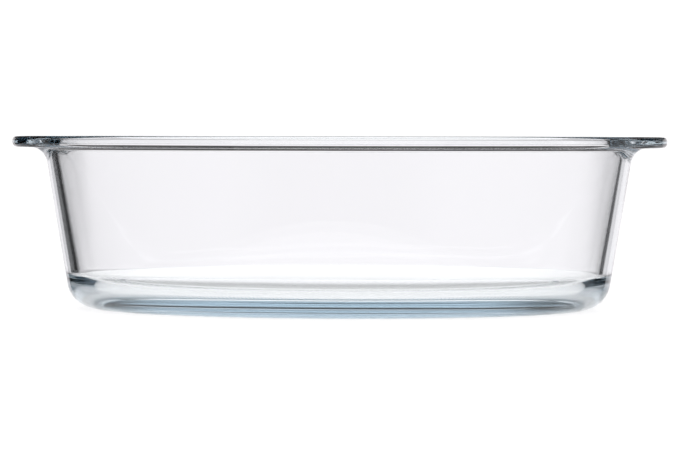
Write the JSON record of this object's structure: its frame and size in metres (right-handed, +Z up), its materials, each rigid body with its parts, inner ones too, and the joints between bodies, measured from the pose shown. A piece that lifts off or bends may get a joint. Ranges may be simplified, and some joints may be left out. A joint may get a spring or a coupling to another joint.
{
  "type": "oval baking dish",
  "caption": "Oval clear-glass baking dish with tapered walls, a flat rim, a flat handle at each end and a rounded heel on a plain resting ring.",
  "frame": {"origin": "middle of the resting plane under the dish", "axes": "+X along the oval's long axis, through both handles; +Y along the short axis; +Z up, out of the open mouth"},
  "size_m": [0.26, 0.18, 0.0685],
  "materials": {
    "clear_glass": "clear pressed glass with a faint blue-grey cast, fire-polished smooth"
  },
  "bodies": {
    "root": {"glass_dish": "clear_glass"}
  },
  "joints": []
}
